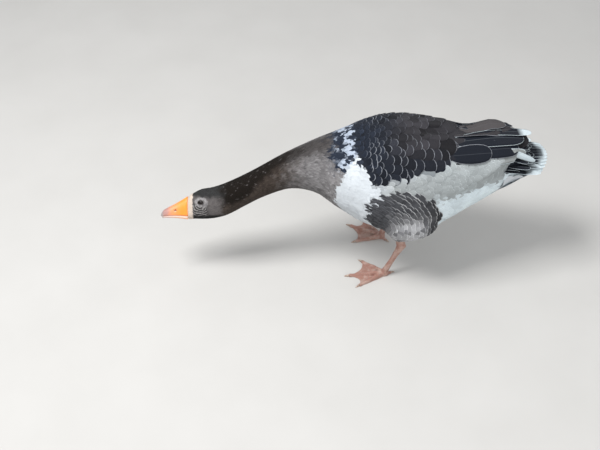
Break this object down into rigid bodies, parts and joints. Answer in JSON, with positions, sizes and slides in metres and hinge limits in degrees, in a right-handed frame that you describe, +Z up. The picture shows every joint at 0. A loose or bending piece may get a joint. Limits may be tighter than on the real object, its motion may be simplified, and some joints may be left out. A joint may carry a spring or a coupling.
{
  "type": "domestic goose",
  "caption": "Life-size domestic goose, standing with its neck stretched low and forward: dark neck and back, white collar, breast and belly, orange bill and webbed feet.",
  "frame": {"origin": "on the floor under the middle of the bird's box, soles at Z 0", "axes": "the bird faces -Y, +X is its left side, +Z is up"},
  "size_m": [0.2378, 0.7866, 0.3617],
  "materials": {
    "plumage": "matte",
    "dark plumage": "matte",
    "rump feathers": "matte",
    "wing plumage": "matte",
    "tail plumage": "matte",
    "bill": "satin",
    "leg": "satin",
    "claw": "satin",
    "eye": "gloss"
  },
  "bodies": {
    "root": {"head": "dark plumage", "neck_upper": "dark plumage", "neck_lower": "dark plumage", "breast": "plumage", "trunk": "plumage", "rump": "rump feathers", "tail": "tail plumage", "wing_left": "wing plumage", "wing_right": "wing plumage", "bill_upper": "bill", "bill_lower": "bill", "eye_left": "eye", "eye_right": "eye", "thigh_left": "plumage", "shank_left": "leg", "foot_left": "leg", "claw_inner_left": "claw", "claw_middle_left": "claw", "claw_outer_left": "claw", "claw_hind_left": "claw", "thigh_right": "plumage", "shank_right": "leg", "foot_right": "leg", "claw_inner_right": "claw", "claw_middle_right": "claw", "claw_outer_right": "claw", "claw_hind_right": "claw"}
  },
  "joints": []
}
